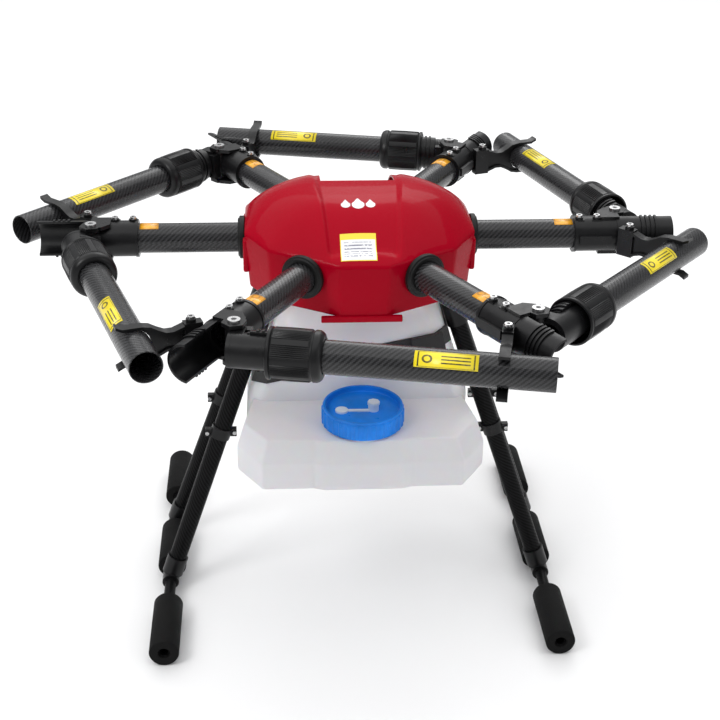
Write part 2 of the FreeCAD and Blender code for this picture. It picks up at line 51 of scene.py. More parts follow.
class Shader:
    """A node material: short calls that add a node, link its inputs and return an output."""

    def __init__(self, name, **fixed):
        self.material = bpy.data.materials.new(name)
        self.material.use_nodes = True
        self.tree = self.material.node_tree
        self.bsdf = self.tree.nodes["Principled BSDF"]
        for socket, value in fixed.items():
            self.bsdf.inputs[socket.replace("_", " ")].default_value = value

    def node(self, kind, inputs=None, out=0, **props):
        made = self.tree.nodes.new(kind)
        for key, value in props.items():
            setattr(made, key, value)
        for key, value in (inputs or {}).items():
            if hasattr(value, "is_output"):
                self.tree.links.new(value, made.inputs[key])
            else:
                made.inputs[key].default_value = value
        return made.outputs[out]

    def math(self, operation, one, two=0.5, three=0.5):
        return self.node("ShaderNodeMath", {0: one, 1: two, 2: three}, operation=operation)

    def place(self, source="Object"):
        return self.node("ShaderNodeTexCoord", out=source)

    def noise(self, scale, detail=3.0, rough=0.55, vector=None):
        vector = vector or self.place()
        return self.node("ShaderNodeTexNoise", {"Vector": vector, "Scale": scale, "Detail": detail,
                                                "Roughness": rough})

    def spread(self, value, low, high, new_low, new_high):
        return self.node("ShaderNodeMapRange", {0: value, 1: low, 2: high, 3: new_low, 4: new_high})

    def mix(self, factor, one, two):
        made = self.tree.nodes.new("ShaderNodeMix")
        made.data_type = "RGBA"
        for key, value in ((0, factor), (6, one), (7, two)):
            if hasattr(value, "is_output"):
                self.tree.links.new(value, made.inputs[key])
            else:
                made.inputs[key].default_value = value
        return made.outputs[2]

    def split(self, vector):
        made = self.tree.nodes.new("ShaderNodeSeparateXYZ")
        self.tree.links.new(vector, made.inputs[0])
        return made.outputs

    def bump(self, height, distance, strength):
        return self.node("ShaderNodeBump", {"Height": height, "Distance": distance,
                                            "Strength": strength})

    def set(self, **sockets):
        for socket, value in sockets.items():
            self.tree.links.new(value, self.bsdf.inputs[socket.replace("_", " ")])
        return self.material


def grey(value, blue=1.0):
    return (value, value, value * blue, 1.0)


# ------------------------------------------------------------------ materials


def weave(shader, across, along, tow):
    # two-over two-under twill: returns (height of the tows, share of warp)
    u, v = shader.math("DIVIDE", across, tow), shader.math("DIVIDE", along, tow)
    fu, fv = shader.math("FLOOR", u), shader.math("FLOOR", v)
    step = shader.math("FLOORED_MODULO", shader.math("ADD", fu, fv), 4.0)
    warp = shader.math("LESS_THAN", step, 2.0)
    over_u = shader.math("SINE", shader.math("MULTIPLY", shader.math("FRACT", u), math.pi))
    over_v = shader.math("SINE", shader.math("MULTIPLY", shader.math("FRACT", v), math.pi))
    height = shader.math("ADD", shader.math("MULTIPLY", warp, over_u),
                         shader.math("MULTIPLY", shader.math("SUBTRACT", 1.0, warp), over_v))
    return height, warp


def carbon_material(name, source, tow, low, high, rough, shine=1.0):
    shader = Shader(name, Coat_Weight=0.4 * shine, Coat_Roughness=0.12, IOR=1.45,
                    Specular_IOR_Level=0.25 * shine)
    place = shader.split(shader.place(source))
    height, warp = weave(shader, place[0], place[1], tow)
    # colour lighter on the warp tows and on each tow's crest: painted sheen standing in for the
    # twill's reflections, while the weave itself is real and also drawn by the bump; the cloud that
    # scales it is random tone
    shade = shader.math("MULTIPLY_ADD", height, 0.3, shader.math("MULTIPLY", warp, 0.7))
    cloud = shader.noise(9.0, 4.0)
    shade = shader.math("MULTIPLY", shade, shader.spread(cloud, 0.3, 0.7, 0.75, 1.2))
    color = shader.mix(shade, grey(low), grey(high, 1.06))
    scuff = shader.noise(160.0, 5.0, 0.7)
    roughness = shader.math("ADD", shader.spread(scuff, 0.3, 0.75, rough - 0.07, rough + 0.12),
                            shader.math("MULTIPLY", warp, -0.06))
    return shader.set(Base_Color=color, Roughness=roughness,
                      Normal=shader.bump(height, 0.00012, 0.7))


def moulded_material(name, color, rough, grain=900.0, depth=0.00008):
    shader = Shader(name, IOR=1.45, Specular_IOR_Level=0.3)
    fine = shader.noise(grain, 2.0)
    broad = shader.noise(22.0, 5.0)
    tint = shader.mix(shader.spread(broad, 0.3, 0.75, 0.0, 1.0), [c * 0.8 for c in color] + [1],
                      [min(1.0, c * 1.25) for c in color] + [1])
    shine = shader.spread(shader.noise(60.0, 6.0, 0.65), 0.3, 0.7, rough - 0.08, rough + 0.1)
    return shader.set(Base_Color=tint, Roughness=shine, Normal=shader.bump(fine, depth, 0.6))


def lacquer_material():
    shader = Shader("red_lacquer", Coat_Weight=0.09, Coat_Roughness=0.03, IOR=1.4,
                    Specular_IOR_Level=0.02)
    broad = shader.noise(6.0, 4.0)
    color = shader.mix(broad, (0.30, 0.0004, 0.008, 1), (0.38, 0.0008, 0.014, 1))
    peel = shader.noise(420.0, 1.0)
    rough = shader.spread(shader.noise(35.0, 6.0, 0.7), 0.35, 0.7, 0.22, 0.34)
    return shader.set(Base_Color=color, Roughness=rough, Normal=shader.bump(peel, 0.00006, 0.4))


def tank_material():
    shader = Shader("tank_polythene", IOR=1.45, Transmission_Weight=0.25,
                    Subsurface_Weight=0.35, Subsurface_Scale=0.02)
    broad = shader.noise(5.0, 4.0)
    color = shader.mix(broad, (0.84, 0.84, 0.875, 1), (0.93, 0.93, 0.95, 1))
    ripple = shader.noise(30.0, 3.0)
    rough = shader.spread(shader.noise(70.0, 5.0), 0.3, 0.7, 0.34, 0.5)
    return shader.set(Base_Color=color, Roughness=rough, Normal=shader.bump(ripple, 0.0008, 0.35))


def steel_material():
    shader = Shader("screw_steel", Metallic=1.0)
    fine = shader.noise(700.0, 4.0)
    color = shader.mix(fine, grey(0.42), grey(0.62))
    return shader.set(Base_Color=color, Roughness=shader.spread(fine, 0.3, 0.7, 0.25, 0.42))


def foam_material():
    shader = Shader("grip_foam", IOR=1.4, Specular_IOR_Level=0.12)
    cells = shader.node("ShaderNodeTexVoronoi", {"Vector": shader.place(), "Scale": 900.0})
    broad = shader.noise(30.0, 5.0)
    color = shader.mix(broad, grey(0.005), grey(0.011))
    return shader.set(Base_Color=color, Roughness=shader.spread(broad, 0.3, 0.7, 0.6, 0.8),
                      Normal=shader.bump(cells, 0.0004, 0.7))


def webbing_material():
    shader = Shader("strap_webbing", Sheen_Weight=0.3)
    place = shader.split(shader.place())
    wave = shader.math("SINE", shader.math("MULTIPLY", place[0], 2600.0))
    rows = shader.math("SINE", shader.math("MULTIPLY", place[2], 3600.0))
    height = shader.math("MULTIPLY", wave, rows)
    color = shader.mix(shader.spread(height, -1.0, 1.0, 0.0, 1.0), grey(0.008), grey(0.03))
    return shader.set(Base_Color=color, Roughness=shader.spread(height, -1, 1, 0.7, 0.9),
                      Normal=shader.bump(height, 0.0003, 0.8))


def board_material():
    shader = Shader("circuit_board", IOR=1.5)
    place = shader.split(shader.place())
    tracks = shader.math("SINE", shader.math("MULTIPLY", place[0], 1400.0))
    lines = shader.math("GREATER_THAN", tracks, 0.8)
    color = shader.mix(lines, (0.01, 0.08, 0.03, 1), (0.05, 0.2, 0.08, 1))
    return shader.set(Base_Color=color, Roughness=shader.spread(shader.noise(90.0), 0, 1, 0.3, 0.6))


MAT = {
    "tube": carbon_material("carbon_tube", "UV", 0.0017, 0.001, 0.040, 0.28, 0.85),
    "plate": carbon_material("carbon_plate", "Object", 0.0030, 0.004, 0.04, 0.42),
    "leg": carbon_material("carbon_leg", "UV", 0.0015, 0.001, 0.010, 0.40, 0.15),
    "nylon": moulded_material("black_nylon", (0.0055, 0.0055, 0.006), 0.33),
    "rubber": moulded_material("black_rubber", (0.005, 0.005, 0.005), 0.5, 500.0, 0.0001),
    "red": lacquer_material(),
    "tank": tank_material(),
    "steel": steel_material(),
    "foam": foam_material(),
    "webbing": webbing_material(),
    "board": board_material(),
    "blue": moulded_material("blue_cap_plastic", (0.008, 0.22, 0.80), 0.34, 600.0, 0.00006),
    "white": moulded_material("white_valve_plastic", (0.62, 0.72, 0.82), 0.40, 600.0, 0.00006),
    "mark": moulded_material("white_print", (0.75, 0.75, 0.76), 0.35),
}

# ------------------------------------------------------------------ mesh helpers


def link(obj):
    bpy.context.scene.collection.objects.link(obj)
    return obj


def helper(name, mesh):
    return link(bpy.data.objects.new(name, mesh))


def to_mesh(bm, name):
    mesh = bpy.data.meshes.new(name)
    bm.to_mesh(mesh)
    bm.free()
    return mesh


def attach(obj, body, node=None):
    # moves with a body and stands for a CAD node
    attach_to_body(obj, body)
    if node:
        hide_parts(node)
    return obj


def finish_mesh(mesh, name, body, material):
    obj = helper(name, mesh)
    paint(mesh, material)
    return attach(obj, body)


def shade(mesh, angle=30.0):
    mesh.polygons.foreach_set("use_smooth", [True] * len(mesh.polygons))
    mesh.set_sharp_from_angle(angle=math.radians(angle))


def paint(mesh, material, angle=30.0):
    mesh.materials.clear()
    mesh.materials.append(material)
    shade(mesh, angle)


def add_bevel(obj, name, width, segments, angle):
    bevel = obj.modifiers.new(name, "BEVEL")
    bevel.width = width
    bevel.segments = segments
    bevel.limit_method = "ANGLE"
    bevel.angle_limit = math.radians(angle)
    return bevel


def round_edges(obj, width, segments=2, angle=30.0):
    add_bevel(obj, "round", width, segments, angle).miter_outer = "MITER_ARC"
    normal = obj.modifiers.new("even", "WEIGHTED_NORMAL")
    normal.keep_sharp = False


def lathe(name, profile, matrix, body, material, steps=64, ripple=None):
    """Turns a closed outline of (distance along, radius) points about the matrix's X axis.
    UVs are in metres. ripple(index of the point, angle) returns a radius change."""
    bm = bmesh.new()
    uv = bm.loops.layers.uv.new("UVMap")
    rings, run = [], [0.0]
    for (x0, r0), (x1, r1) in zip(profile, profile[1:]):
        run.append(run[-1] + math.hypot(x1 - x0, r1 - r0))
    for i, (x, r) in enumerate(profile):
        ring = []
        for k in range(steps):
            a = 2 * math.pi * k / steps
            radius = r + (ripple(i, a) if ripple else 0.0)
            ring.append(bm.verts.new(matrix @ Vector((x, radius * math.cos(a),
                                                      radius * math.sin(a)))))
        rings.append(ring)
    widest = max(r for _, r in profile)
    for i in range(len(rings)):
        j = (i + 1) % len(rings)
        for k in range(steps):
            m = (k + 1) % steps
            face = bm.faces.new((rings[i][k], rings[j][k], rings[j][m], rings[i][m]))
            ends = ((k, i), (k, j), (k + 1, j), (k + 1, i))
            for loop, (turn, along) in zip(face.loops, ends):
                loop[uv].uv = (2 * math.pi * turn / steps * widest,
                               run[along] if along or j else run[-1])
    bmesh.ops.recalc_face_normals(bm, faces=bm.faces)
    return finish_mesh(to_mesh(bm, name), name, body, material)


def tube(name, start, end, outer, inner, matrix, body, material, steps=64):
    lip = 0.6 * MM
    profile = [(start + lip, outer), (end - lip, outer), (end, outer - lip), (end, inner + lip),
               (end - lip, inner), (start + lip, inner), (start, inner + lip),
               (start, outer - lip)]
    return lathe(name, profile, matrix, body, material, steps)


def dress(node, material, bevel=0.0, segments=2):
    """Gives a CAD node its material and softens its edges."""
    obj = NODES[node]
    obj.data.materials.clear()
    obj.data.materials.append(material)
    weld = obj.modifiers.new("weld", "WELD")
    weld.merge_threshold = 0.02 * MM
    obj.data.polygons.foreach_set("use_smooth", [True] * len(obj.data.polygons))
    if bevel:
        round_edges(obj, bevel, segments)


# ------------------------------------------------------------------ frames of the arms

PIVOT_OFFSET = 19.36 * MM
TUBE, TUBE_BORE = 20.0 * MM, 18.5 * MM
FIXED_TUBE, SWING_TUBE = (96 * MM, 343 * MM), (40 * MM, 371.5 * MM)
COLLAR_START = 44.0 * MM
LABEL_GAP, LABEL_FILM = 0.2 * MM, 0.25 * MM


def arm_names():
    return [name[5:] for name in JOINTS if name.startswith("fold_")]


def folded_frame(name):
    # X along the folded tube from the pivot's foot, Z up, origin on the tube's axis
    pivot = Vector(JOINTS["fold_" + name]["pos_m"])
    run = Vector(JOINTS["collar_slide_" + name]["axis"]).normalized()
    out = run.cross(Vector((0, 0, 1)))
    return basis(pivot + out * PIVOT_OFFSET, run)


def radial_frame(name):
    # X along the fixed inner arm, origin on the drone's axis
    run = Vector(JOINTS["collar_slide_" + name]["axis"])
    fold = math.radians(JOINTS["fold_" + name]["range_deg"][1])
    run.rotate(Matrix.Rotation(-fold, 3, "Z"))
    return basis(Vector((0, 0, JOINTS["fold_" + name]["pos_m"][2])), run)


def basis(origin, run):
    side = Vector((0, 0, 1)).cross(run)
    matrix = Matrix((run, side, Vector((0, 0, 1)))).transposed().to_4x4()
    matrix.translation = origin
    return matrix


KNURL_GROUPS, KNURL_RIBS, KNURL_SHARE = 8, 7, 0.66
KNURL_LAND, KNURL_HEIGHT = 0.7 * MM, 1.0 * MM
KNURL_ROWS = (6, 7, 8)
COLLAR_PROFILE = [(0.0, 28.2), (0.5, 30.1), (1.3, 30.7), (3.6, 30.7), (4.4, 30.2), (5.2, 29.0),
                  (7.0, 29.6), (29.0, 29.9), (49.5, 29.6), (51.5, 28.9), (53.0, 29.4),
                  (54.2, 30.4), (58.5, 30.2), (61.5, 28.9), (63.6, 26.8), (64.8, 24.0),
                  (65.0, 22.5), (64.6, 20.6), (58.0, 20.5), (58.0, 27.0), (30.0, 27.2),
                  (1.0, 27.3)]


def knurl(row, angle):
    # groups of fine grip ribs round the collar, with plain lands between them
    if row not in KNURL_ROWS:
        return 0.0
    share = (angle * KNURL_GROUPS / (2 * math.pi)) % 1.0
    if share > KNURL_SHARE:
        return KNURL_LAND
    return KNURL_HEIGHT * (0.5 - 0.5 * math.cos(2 * math.pi * KNURL_RIBS * share / KNURL_SHARE))


def make_collar(name, folded):
    profile = [(COLLAR_START + x * MM, r * MM) for x, r in COLLAR_PROFILE]
    collar = lathe("lock_sleeve_" + name, profile, folded, "collar_" + name, MAT["nylon"],
                   336, knurl)
    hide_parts("lock_collar_" + name)


def wrap(name, frame_matrix, body, material, span, centre, half):
    """A thin label wrapped on a tube: span along X in metres, centre and half angle in degrees."""
    bm = bmesh.new()
    uv = bm.loops.layers.uv.new("UVMap")
    radius = TUBE + LABEL_GAP
    count, rows = 14, []
    for i in range(count + 1):
        a = math.radians(centre - half + 2 * half * i / count)
        rows.append([bm.verts.new(frame_matrix @ Vector((x, radius * math.cos(a),
                                                         radius * math.sin(a))))
                     for x in span])
    for i in range(count):
        face = bm.faces.new((rows[i][0], rows[i][1], rows[i + 1][1], rows[i + 1][0]))
        for loop, place in zip(face.loops, ((0, i), (1, i), (1, i + 1), (0, i + 1))):
            loop[uv].uv = (place[0], place[1] / count)
    label = finish_mesh(to_mesh(bm, name), name, body, material)
    thick = label.modifiers.new("film", "SOLIDIFY")
    thick.thickness = LABEL_FILM
    thick.offset = 0.0


def label_material(name, paper, ink, bars, tall=1.0, header=None):
    """Printed film: a plain field, a thin border, rows of generic dashes and, without a header,
    a ring at the left. A header colour paints a band across the top and the border."""
    shader = Shader(name, Coat_Weight=0.4, Coat_Roughness=0.2)
    u, v, _ = shader.split(shader.place("UV"))
    edge = shader.math("MINIMUM", shader.math("MINIMUM", u, shader.math("SUBTRACT", 1.0, u)),
                       shader.math("MINIMUM", v, shader.math("SUBTRACT", 1.0, v)))
    line = shader.math("COMPARE", edge, 0.06, 0.012)
    left = 0.10 if header else 0.42
    row = shader.math("FRACT", shader.math("MULTIPLY", v, bars))
    inside = shader.math("MULTIPLY", shader.math("GREATER_THAN", u, left),
                         shader.math("LESS_THAN", u, 0.88))
    field = shader.math("MULTIPLY", shader.math("GREATER_THAN", v, 0.12 if header else 0.24),
                        shader.math("LESS_THAN", v, 0.72 if header else 0.78))
    text = shader.math("MULTIPLY", shader.math("MULTIPLY", inside, field),
                       shader.math("COMPARE", row, 0.5, 0.2))
    if header:
        speckle = shader.noise(16.0, 1.0, vector=shader.place("UV"))
        marks = shader.math("MULTIPLY", text, shader.math("GREATER_THAN", speckle, 0.43))
        band = shader.math("GREATER_THAN", v, 0.80)
        rim = shader.math("LESS_THAN", edge, 0.025)
        paper = shader.mix(shader.math("MAXIMUM", band, rim), paper, header)
    else:
        du = shader.math("MULTIPLY", shader.math("SUBTRACT", u, 0.2), tall)
        dv = shader.math("SUBTRACT", v, 0.5)
        dist = shader.math("SQRT", shader.math("ADD", shader.math("MULTIPLY", du, du),
                                               shader.math("MULTIPLY", dv, dv)))
        ring = shader.math("COMPARE", dist, 0.2, 0.05)
        marks = shader.math("MAXIMUM", shader.math("MAXIMUM", line, ring), text)
    worn = shader.math("MULTIPLY", marks, shader.spread(shader.noise(400.0), 0.3, 0.6, 0.7, 1.0))
    color = shader.mix(worn, paper, ink)
    return shader.set(Base_Color=color, Roughness=shader.spread(shader.noise(80.0), 0, 1, 0.3, 0.5))


LABEL = {
    "yellow": label_material("yellow_label", (0.88, 0.70, 0.01, 1), (0.02, 0.02, 0.01, 1), 5.0, 3.0),
    "orange": label_material("orange_label", (0.88, 0.40, 0.015, 1), (0.50, 0.24, 0.03, 1), 4.0),
    "white": label_material("white_label", (0.80, 0.80, 0.82, 1), (0.16, 0.16, 0.22, 1), 9.0,
                            header=(0.85, 0.66, 0.01, 1)),
}


# how far along its tube each tag runs, where it sits round the tube and half its angle, degrees
ARM_TAG, ARM_TAG_TURN, ARM_TAG_HALF = (268 * MM, 293 * MM), 90, 32
SWING_TAG, SWING_TAG_HALF = (212 * MM, 284 * MM), 29
SWING_TAG_TURN = {"left": 132, "front_left": 132, "front_right": 120, "right": 75,
                  "back_right": 62, "back_left": 72}


def make_arm(name):
    radial, folded = radial_frame(name), folded_frame(name)
    arm = "arm_" + name
    inner = tube("fixed_tube_" + name, *FIXED_TUBE, TUBE, TUBE_BORE, radial, "frame",
                 MAT["tube"])
    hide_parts("inner_tube_" + name)
    outer = tube("swing_tube_" + name, *SWING_TUBE, TUBE, TUBE_BORE, folded, arm, MAT["tube"])
    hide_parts("outer_tube_" + name)
    make_collar(name, folded)
    wrap("arm_tag_" + name, radial, "frame", LABEL["orange"], ARM_TAG, ARM_TAG_TURN, ARM_TAG_HALF)
    wrap("swing_tag_" + name, folded, arm, LABEL["yellow"], SWING_TAG, SWING_TAG_TURN[name],
         SWING_TAG_HALF)
    for node in ("fold_socket_", "fold_knuckle_", "rest_clip_"):
        dress(node + name, MAT["nylon"], 0.6 * MM)


# ------------------------------------------------------------------ centre body

# lengths in this part are in millimetres, heights are above the ring of arms
AXIS = 524.5
SHOULDER, FACE = 158.5, 153.0
MID = [(40, -103), (90, -78), (120, -28), (120, 30), (90, 80), (40, 104)]
TOP = [(48, -60), (58, -48), (62, -30), (62, 8), (58, 24), (48, 33)]
LOW_HEIGHT, SHOULDER_HEIGHT, MID_HEIGHT, TOP_HEIGHT = -48, 22, 60, 75.5
SHOULDER_RISE, RISE_FROM = 0.10, 100
ARM_HOLE, ARM_HOLE_FROM, ARM_HOLE_TO = 23.5, 110, 190
BAY = [(22, 30), (102, 30), (168, -5), (168, 110), (22, 110)]
BAY_HALF, TUB_WALL = 50, 1.8
CREASE, CREASE_HALF, CREASE_SLANT, CREASE_FROM = 52.5, 4.5, 0.075, -30
CREASE_FRONT, CREASE_RAMP = -146, 12
SINK_FRONT, SINK_EASED, SINK_FROM, SINK_RUN = 6.5, 3.9, -120, 110
REAR_FALL, REAR_FROM = 0.07, 4
TAB_OUT, TAB_HALF, TAB_LONG = 151, 4, 18


def corners_of_ring():
    # right-hand corners of the twelve-sided outline, front to back
    low = (FACE - SHOULDER * math.cos(math.radians(30))) / 0.5
    a, b = math.radians(-60), math.radians(-30)
    det = math.sin(b - a)
    second = ((FACE * math.sin(b) - SHOULDER * math.sin(a)) / det,
              (SHOULDER * math.cos(a) - FACE * math.cos(b)) / det)
    third = (FACE, -(SHOULDER - FACE * math.cos(math.radians(30))) / 0.5)
    front = [(low, -SHOULDER), second, third]
    return front + [(x, -y) for x, y in reversed(front)]


def outline(right, height, shrink=0.0):
    # closed outline from its right half; shrink is how far a point 150 mm out moves in
    points = right + [(-x, y) for x, y in reversed(right)]
    scale = 1 - shrink / 150.0
    return [Vector((x * scale * MM, y * scale * MM, (AXIS + height) * MM)) for x, y in points]


def side_slab(name, corners, half):
    # bar along X whose outline is given as (y, height above the arms)
    rings = [[Vector((x, y, AXIS + z)) * MM for y, z in corners] for x in (-half, half)]
    return helper(name, lofted(name, rings))


def lofted(name, rings, cap_low=True):
    bm = bmesh.new()
    rows = [[bm.verts.new(p) for p in ring] for ring in rings]
    count = len(rows[0])
    for low, high in zip(rows, rows[1:]):
        for k in range(count):
            m = (k + 1) % count
            bm.faces.new((low[k], low[m], high[m], high[k]))
    if cap_low:
        bm.faces.new(list(reversed(rows[0])))
    bm.faces.new(rows[-1])
    bmesh.ops.recalc_face_normals(bm, faces=bm.faces)
    return to_mesh(bm, name)


def apply_all(obj):
    # bakes the object's modifiers into its mesh
    graph = bpy.context.evaluated_depsgraph_get()
    mesh = bpy.data.meshes.new_from_object(obj.evaluated_get(graph))
    obj.modifiers.clear()
    obj.data = mesh


def soften(obj, width, segments, angle):
    add_bevel(obj, "round", width, segments, angle)
    apply_all(obj)


def boolean(obj, tool, operation="DIFFERENCE"):
    made = obj.modifiers.new("cut", "BOOLEAN")
    made.operation = operation
    made.solver = "EXACT"
    made.object = tool


def bar(name, start, end, radius, steps=48):
    run = (Vector(end) - Vector(start))
    bm = bmesh.new()
    bmesh.ops.create_cone(bm, cap_ends=True, segments=steps, radius1=radius, radius2=radius,
                          depth=run.length)
    turn = Vector((0, 0, 1)).rotation_difference(run).to_matrix().to_4x4()
    turn.translation = (Vector(start) + Vector(end)) / 2
    bm.transform(turn)
    return helper(name, to_mesh(bm, name))


def block(name, low, high):
    bm = bmesh.new()
    bmesh.ops.create_cube(bm, size=1.0)
    size = Vector(high) - Vector(low)
    bm.transform(Matrix.Translation((Vector(low) + Vector(high)) / 2) @ Matrix.Diagonal(
        (*size, 1)))
    return helper(name, to_mesh(bm, name))


def remove(*objs):
    for obj in objs:
        bpy.data.objects.remove(obj)


def clamped(value):
    return min(1.0, max(0.0, value))


def crease_offset(x, y):
    # distance outward from the crease that runs along the crown on either side
    return abs(x) - CREASE - CREASE_SLANT * (y - CREASE_FROM)


def sink_crown(mesh):
    # lowers the middle of the crown between two creases, and its rear a little
    bm = bmesh.new()
    bm.from_mesh(mesh)
    cuts = [((side * (CREASE + CREASE_HALF * (k / 4 - 1)), CREASE_FROM, 0),
             (side, -CREASE_SLANT, 0)) for k in range(9) for side in (-1, 1)]
    # more edges across, where the front ramp rises and the rear starts to fall
    cuts += [((0, y, 0), (0, 1, 0)) for y in (-144, -141, -138, -135, -128, 4, 12, 20)]
    for point, normal in cuts:
        bmesh.ops.bisect_plane(bm, geom=bm.verts[:] + bm.edges[:] + bm.faces[:],
                               plane_co=Vector(point) * MM, plane_no=normal)
    for vert in bm.verts:
        x, y, z = vert.co / MM
        if z < AXIS + SHOULDER_HEIGHT + 1:
            continue
        across = clamped(0.5 - crease_offset(x, y) / (2 * CREASE_HALF))
        ramp = clamped((y - CREASE_FRONT) / CREASE_RAMP)
        deep = SINK_FRONT - SINK_EASED * clamped((y - SINK_FROM) / SINK_RUN)
        vert.co.z -= deep * ramp * across * across * (3 - 2 * across) * MM
        vert.co.z -= REAR_FALL * max(0.0, y - REAR_FROM) * MM
    bm.to_mesh(mesh)
    bm.free()


def split_sides(ring, parts=8):
    return [low.lerp(high, k / parts) for low, high in zip(ring, ring[1:] + ring[:1])
            for k in range(parts)]


def relax(ring, passes):
    # rounds the corners of a closed outline
    for _ in range(passes):
        ring = [(ring[k - 1] + 2 * ring[k] + ring[(k + 1) % len(ring)]) / 4
                for k in range(len(ring))]
    return ring


def crown_rings(low, middle, high, steps=12):
    """Outlines from the shoulder line up to the flat top, ever rounder in plan."""
    rings = []
    for step in range(1, steps + 1):
        s = step / steps
        # the parabola through low, middle and high
        weights = ((1 - s) * (1 - 2 * s), 4 * s * (1 - s), s * (2 * s - 1))
        ring = [a * weights[0] + b * weights[1] + c * weights[2]
                for a, b, c in zip(low, middle, high)]
        rings.append(relax(ring, round(1 + 42 * s ** 1.3)))
    return rings


def make_cover():
    ring = corners_of_ring()
    shoulder = outline(ring, SHOULDER_HEIGHT)
    for point in shoulder:
        # the shoulder line climbs towards the side arms
        point.z += max(0.0, abs(point.x) / MM - RISE_FROM) * SHOULDER_RISE * MM
    rings = (outline(ring, LOW_HEIGHT, 6), shoulder, outline(MID, MID_HEIGHT),
             outline(TOP, TOP_HEIGHT))
    stages = [split_sides(each) for each in rings]
    skin = helper("cover_skin", lofted("cover_skin", stages[:2] + crown_rings(*stages[1:]),
                                       cap_low=False))
    soften(skin, 3.5 * MM, 3, 20)
    wall = skin.modifiers.new("wall", "SOLIDIFY")
    wall.thickness = 3 * MM
    wall.offset = -1.0
    apply_all(skin)
    tools = [bar("arm_hole", radial_frame(n) @ Vector((ARM_HOLE_FROM * MM, 0, 0)),
                 radial_frame(n) @ Vector((ARM_HOLE_TO * MM, 0, 0)), ARM_HOLE * MM)
             for n in arm_names()]
    tools.append(side_slab("bay_hole", BAY, BAY_HALF))
    for tool in tools:
        boolean(skin, tool)
    apply_all(skin)
    remove(*tools)
    sink_crown(skin.data)
    paint(skin.data, MAT["red"], 32)
    add_bevel(skin, "edge", 0.7 * MM, 2, 50)
    return attach(skin, "frame", "top_cover")


def side_tabs():
    # red tabs in front of and behind each side arm
    joined = bmesh.new()
    for side in (-1, 1):
        for y in (-52, 34):
            low = Vector((side * TAB_OUT - TAB_HALF, y, AXIS - 30)) * MM
            high = Vector((side * TAB_OUT + TAB_HALF, y + TAB_LONG, AXIS + 15)) * MM
            piece = block("tab", low, high)
            joined.from_mesh(piece.data)
            remove(piece)
    tabs = finish_mesh(to_mesh(joined, "side_tabs"), "side_tabs", "frame", MAT["red"])
    round_edges(tabs, 3 * MM, 4)
    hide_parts("top_cover")


def bay_tub():
    # inner walls and floor of the battery bay
    tub = side_slab("bay_tub", [(20.3, 28), (101.5, 28), (156, -1), (155, 8), (97, 42), (33, 60),
                                (20.3, 61)], BAY_HALF + TUB_WALL)
    hollow = side_slab("hollow", BAY, BAY_HALF)
    boolean(tub, hollow)
    apply_all(tub)
    remove(hollow)
    paint(tub.data, MAT["red"])
    attach(tub, "frame", "top_cover")


def decal(name, target, material, centre, width, tall, shape=None):
    """A printed film laid on the cover from straight above, with no thickness.
    centre, width and tall are in plan (x, y); shape(u, v) says whether a cell is printed."""
    cells = 24 if shape is None else 80
    bm = bmesh.new()
    uv = bm.loops.layers.uv.new("UVMap")
    points = {}
    graph = bpy.context.evaluated_depsgraph_get()
    surface = target.evaluated_get(graph)
    for i in range(cells + 1):
        for k in range(cells + 1):
            x = centre[0] + width * (i / cells - 0.5)
            y = centre[1] + tall * (k / cells - 0.5)
            _, place, normal, _ = surface.ray_cast(Vector((x, y, 1.0)), Vector((0, 0, -1)))
            points[i, k] = bm.verts.new(place + normal * 0.3 * MM)
    for i in range(cells):
        for k in range(cells):
            u, v = (i + 0.5) / cells, (k + 0.5) / cells
            if shape and not shape(u, v):
                continue
            corners = ((i, k), (i + 1, k), (i + 1, k + 1), (i, k + 1))
            face = bm.faces.new([points[c] for c in corners])
            for loop, (a, b) in zip(face.loops, corners):
                loop[uv].uv = (a / cells, b / cells)
    loose = [v for v in bm.verts if not v.link_faces]
    bmesh.ops.delete(bm, geom=loose, context="VERTS")
    finish_mesh(to_mesh(bm, name), name, "frame", material)


def three_drops(u, v):
    # three plain water drops side by side, each a round body with its point towards the rear
    for middle, size in ((0.5, 0.155), (0.2, 0.115), (0.8, 0.115)):
        x, y = (u - middle) / size, (v - 0.42) * 0.56 / size
        if x * x + y * y < 1 or (0 < y < 2.3 and abs(x) < 0.9 * (2.3 - y) / 2.3 + 0.02):
            return True
    return False


# ------------------------------------------------------------------ landing gear


def along_frame(start, end):
    # X from start to end, for bars that lean
    run = (Vector(end) - Vector(start)).normalized()
    hint = Vector((0, 0, 1)) if abs(run.z) < 0.95 else Vector((1, 0, 0))
    side = hint.cross(run).normalized()
    matrix = Matrix((run, side, run.cross(side))).transposed().to_4x4()
    matrix.translation = start
    return matrix


LEG_TOP, LEG_FOOT = Vector((120, 30, AXIS - 64)) * MM, Vector((272, 73, 20.5)) * MM
LEG_RADIUS, LEG_BORE, LEG_SHARE = 12.5 * MM, 11 * MM, 0.95
SKID_X, SKID_Z, SKID_HALF = 272 * MM, 20.5 * MM, 248 * MM
SKID_RADIUS, SKID_BORE = 8 * MM, 6.5 * MM
FOAM_SPANS = ((-252, -140), (-50, 50), (140, 252))


